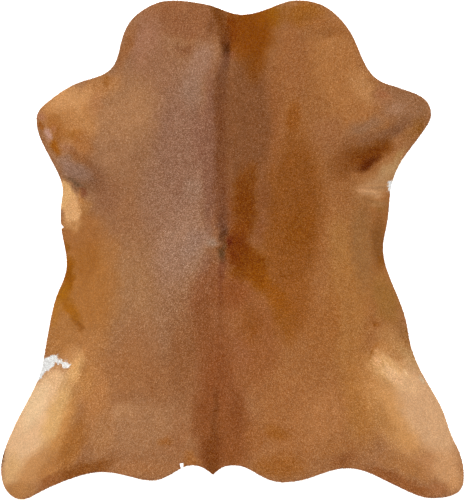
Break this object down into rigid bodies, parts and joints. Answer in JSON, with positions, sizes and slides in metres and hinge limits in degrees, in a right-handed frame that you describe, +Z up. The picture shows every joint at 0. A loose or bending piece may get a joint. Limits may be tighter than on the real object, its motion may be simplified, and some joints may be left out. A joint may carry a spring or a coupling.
{
  "type": "hair-on leather hide",
  "caption": "Whole tanned calf hide with short hair left on, laid out flat hair side up, with neck, shanks and rump in its natural outline.",
  "frame": {"origin": "middle of the bounding box, on the surface that the hide lies on", "axes": "+X to the right with the hair side facing the viewer and the neck up, +Y towards the neck, +Z up out of the hair"},
  "size_m": [0.9231, 0.9955, 0.0167],
  "materials": {
    "hair_on_hide": "short brown hair lying flat, with a soft sheen"
  },
  "bodies": {
    "root": {"hide": "hair_on_hide"}
  },
  "joints": []
}
